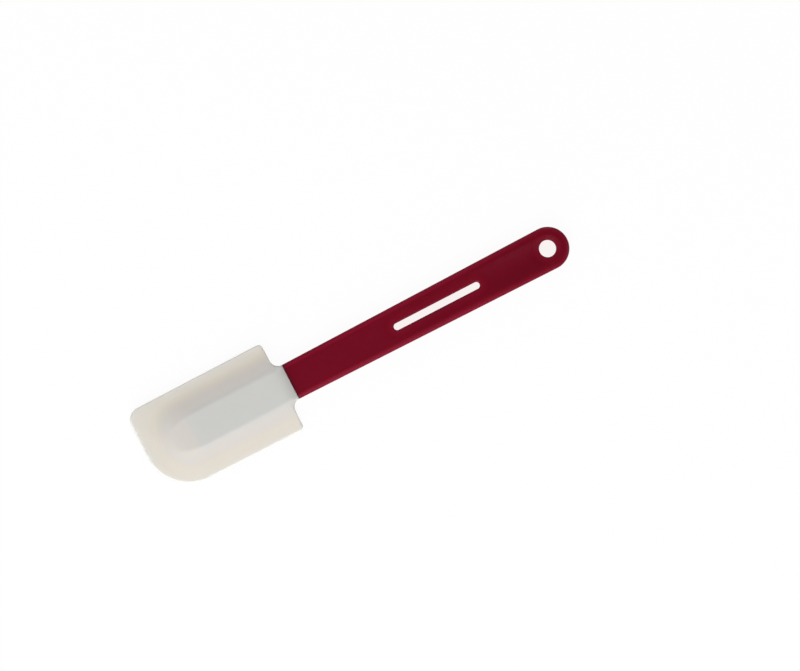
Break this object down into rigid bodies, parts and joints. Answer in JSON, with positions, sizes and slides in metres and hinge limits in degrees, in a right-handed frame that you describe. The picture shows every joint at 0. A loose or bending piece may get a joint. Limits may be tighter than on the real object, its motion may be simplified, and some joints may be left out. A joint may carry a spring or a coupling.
{
  "type": "silicone spatula",
  "caption": "Flat scraping spatula: a soft blade with a square and a swept tip corner, cast over the keyed tang of a stiff slotted handle that ends in a hang hole.",
  "frame": {"origin": "middle of the tool: halfway along its length, on its centreline, and halfway through its thickness", "axes": "+X along the length towards the hang hole, +Y across towards the blade's square tip corner, +Z square to the flat faces, towards the face that the picture shows"},
  "size_m": [0.254, 0.0516, 0.0094],
  "materials": {
    "nylon": "dark red moulded nylon, smooth and lightly glossy",
    "silicone": "translucent white silicone, satin"
  },
  "bodies": {
    "root": {"handle": "nylon", "blade": "silicone"}
  },
  "joints": []
}
